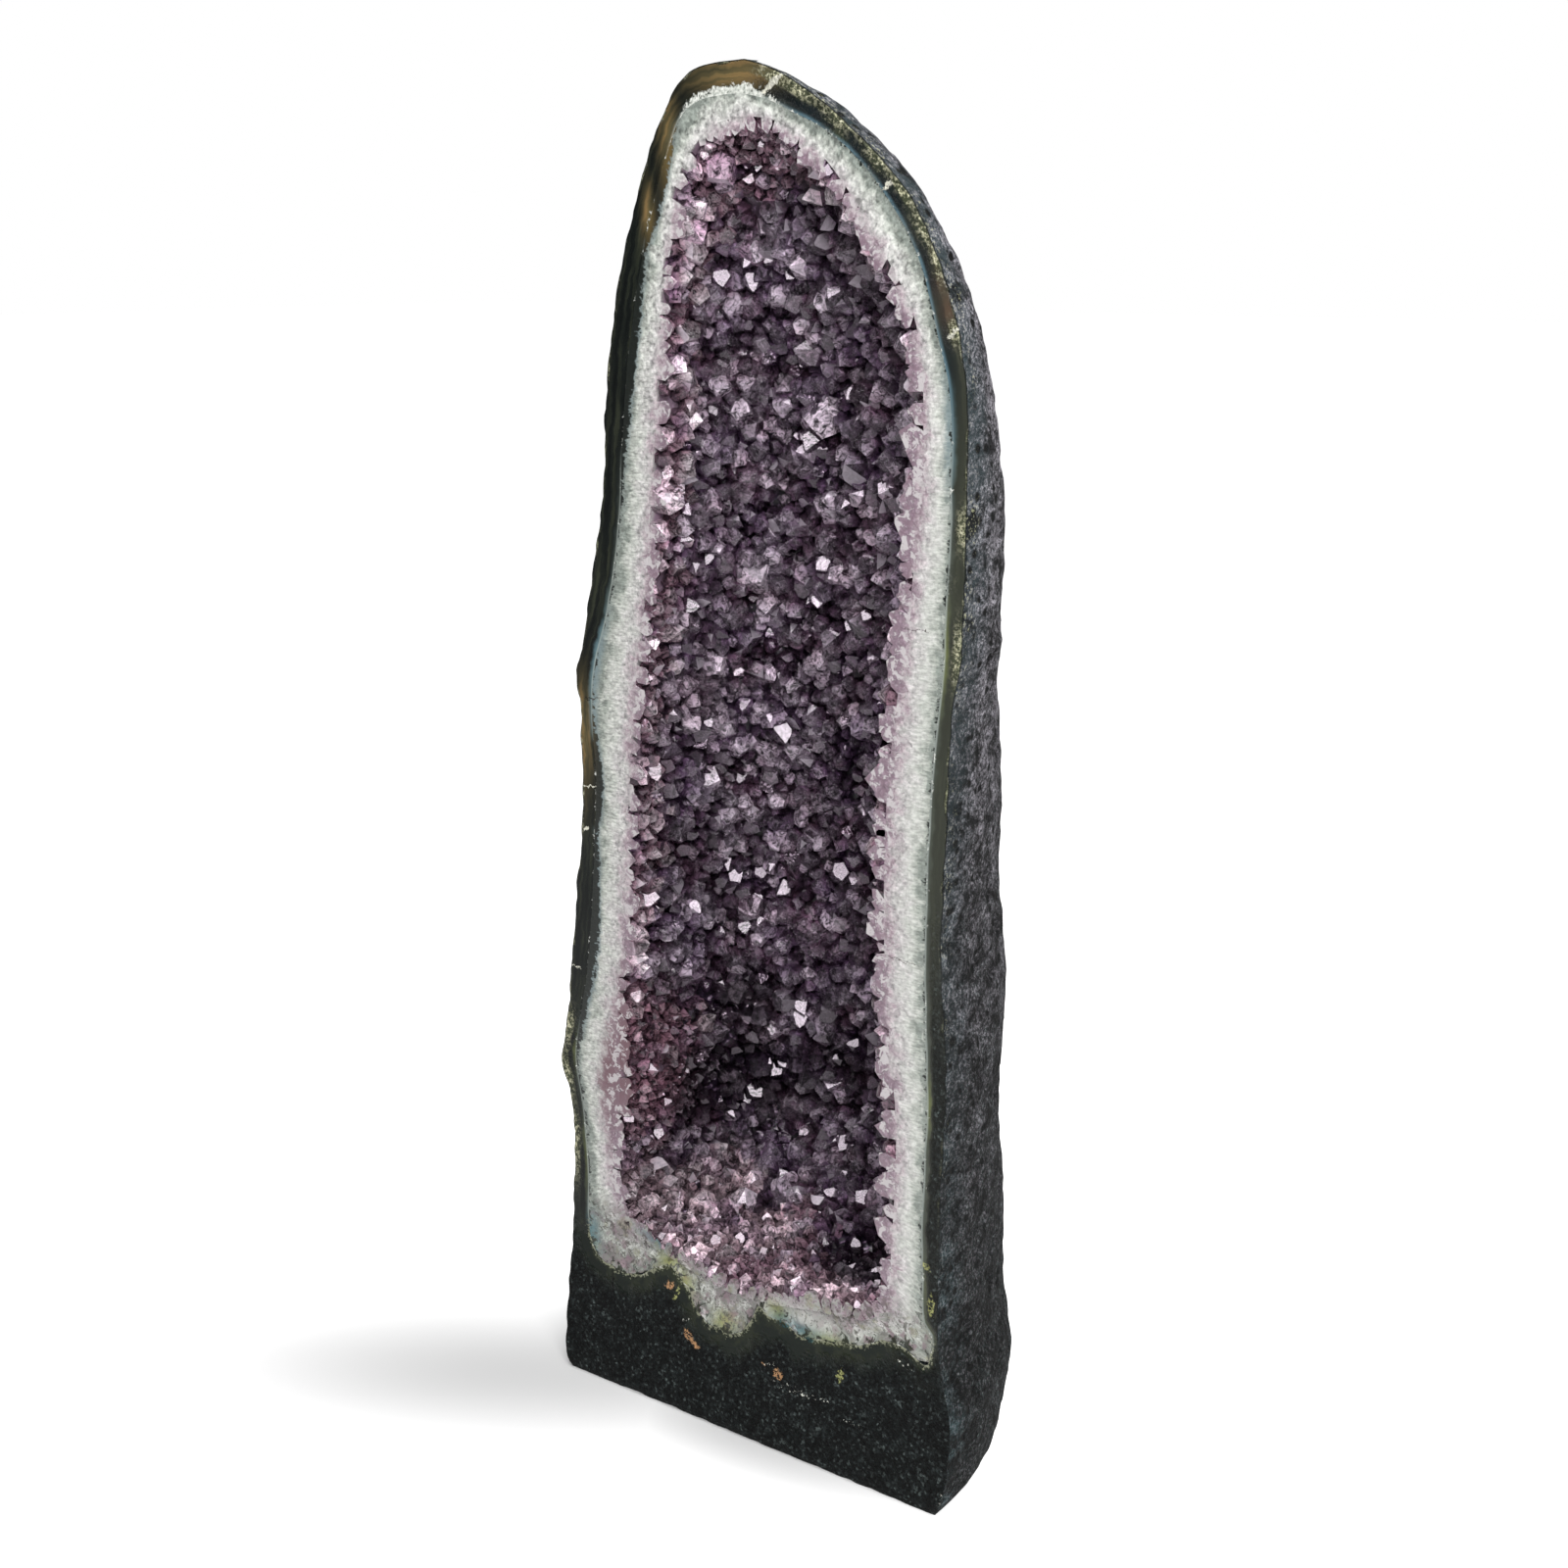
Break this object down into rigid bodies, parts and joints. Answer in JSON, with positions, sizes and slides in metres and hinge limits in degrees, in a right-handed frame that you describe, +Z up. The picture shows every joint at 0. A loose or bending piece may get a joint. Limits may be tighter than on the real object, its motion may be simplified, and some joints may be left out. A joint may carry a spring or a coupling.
{
  "type": "amethyst cathedral geode",
  "caption": "Tall free-standing amethyst geode, polished down its front to show banded agate and a deep crystal-lined hollow, on its own flat cut foot.",
  "frame": {"origin": "middle of the flat cut foot, on the surface that the geode stands on", "axes": "+Z up along the geode, the polished face looks along -Y, +X to the right as seen from the front"},
  "size_m": [0.2957, 0.1747, 0.8],
  "materials": {
    "rock": "granular dark green-black rock, polished agate on the cut face",
    "amethyst": "glossy crystal faces over white quartz, polished on the cut face"
  },
  "bodies": {
    "root": {"geode_rock": "rock", "amethyst_crust": "amethyst"}
  },
  "joints": []
}
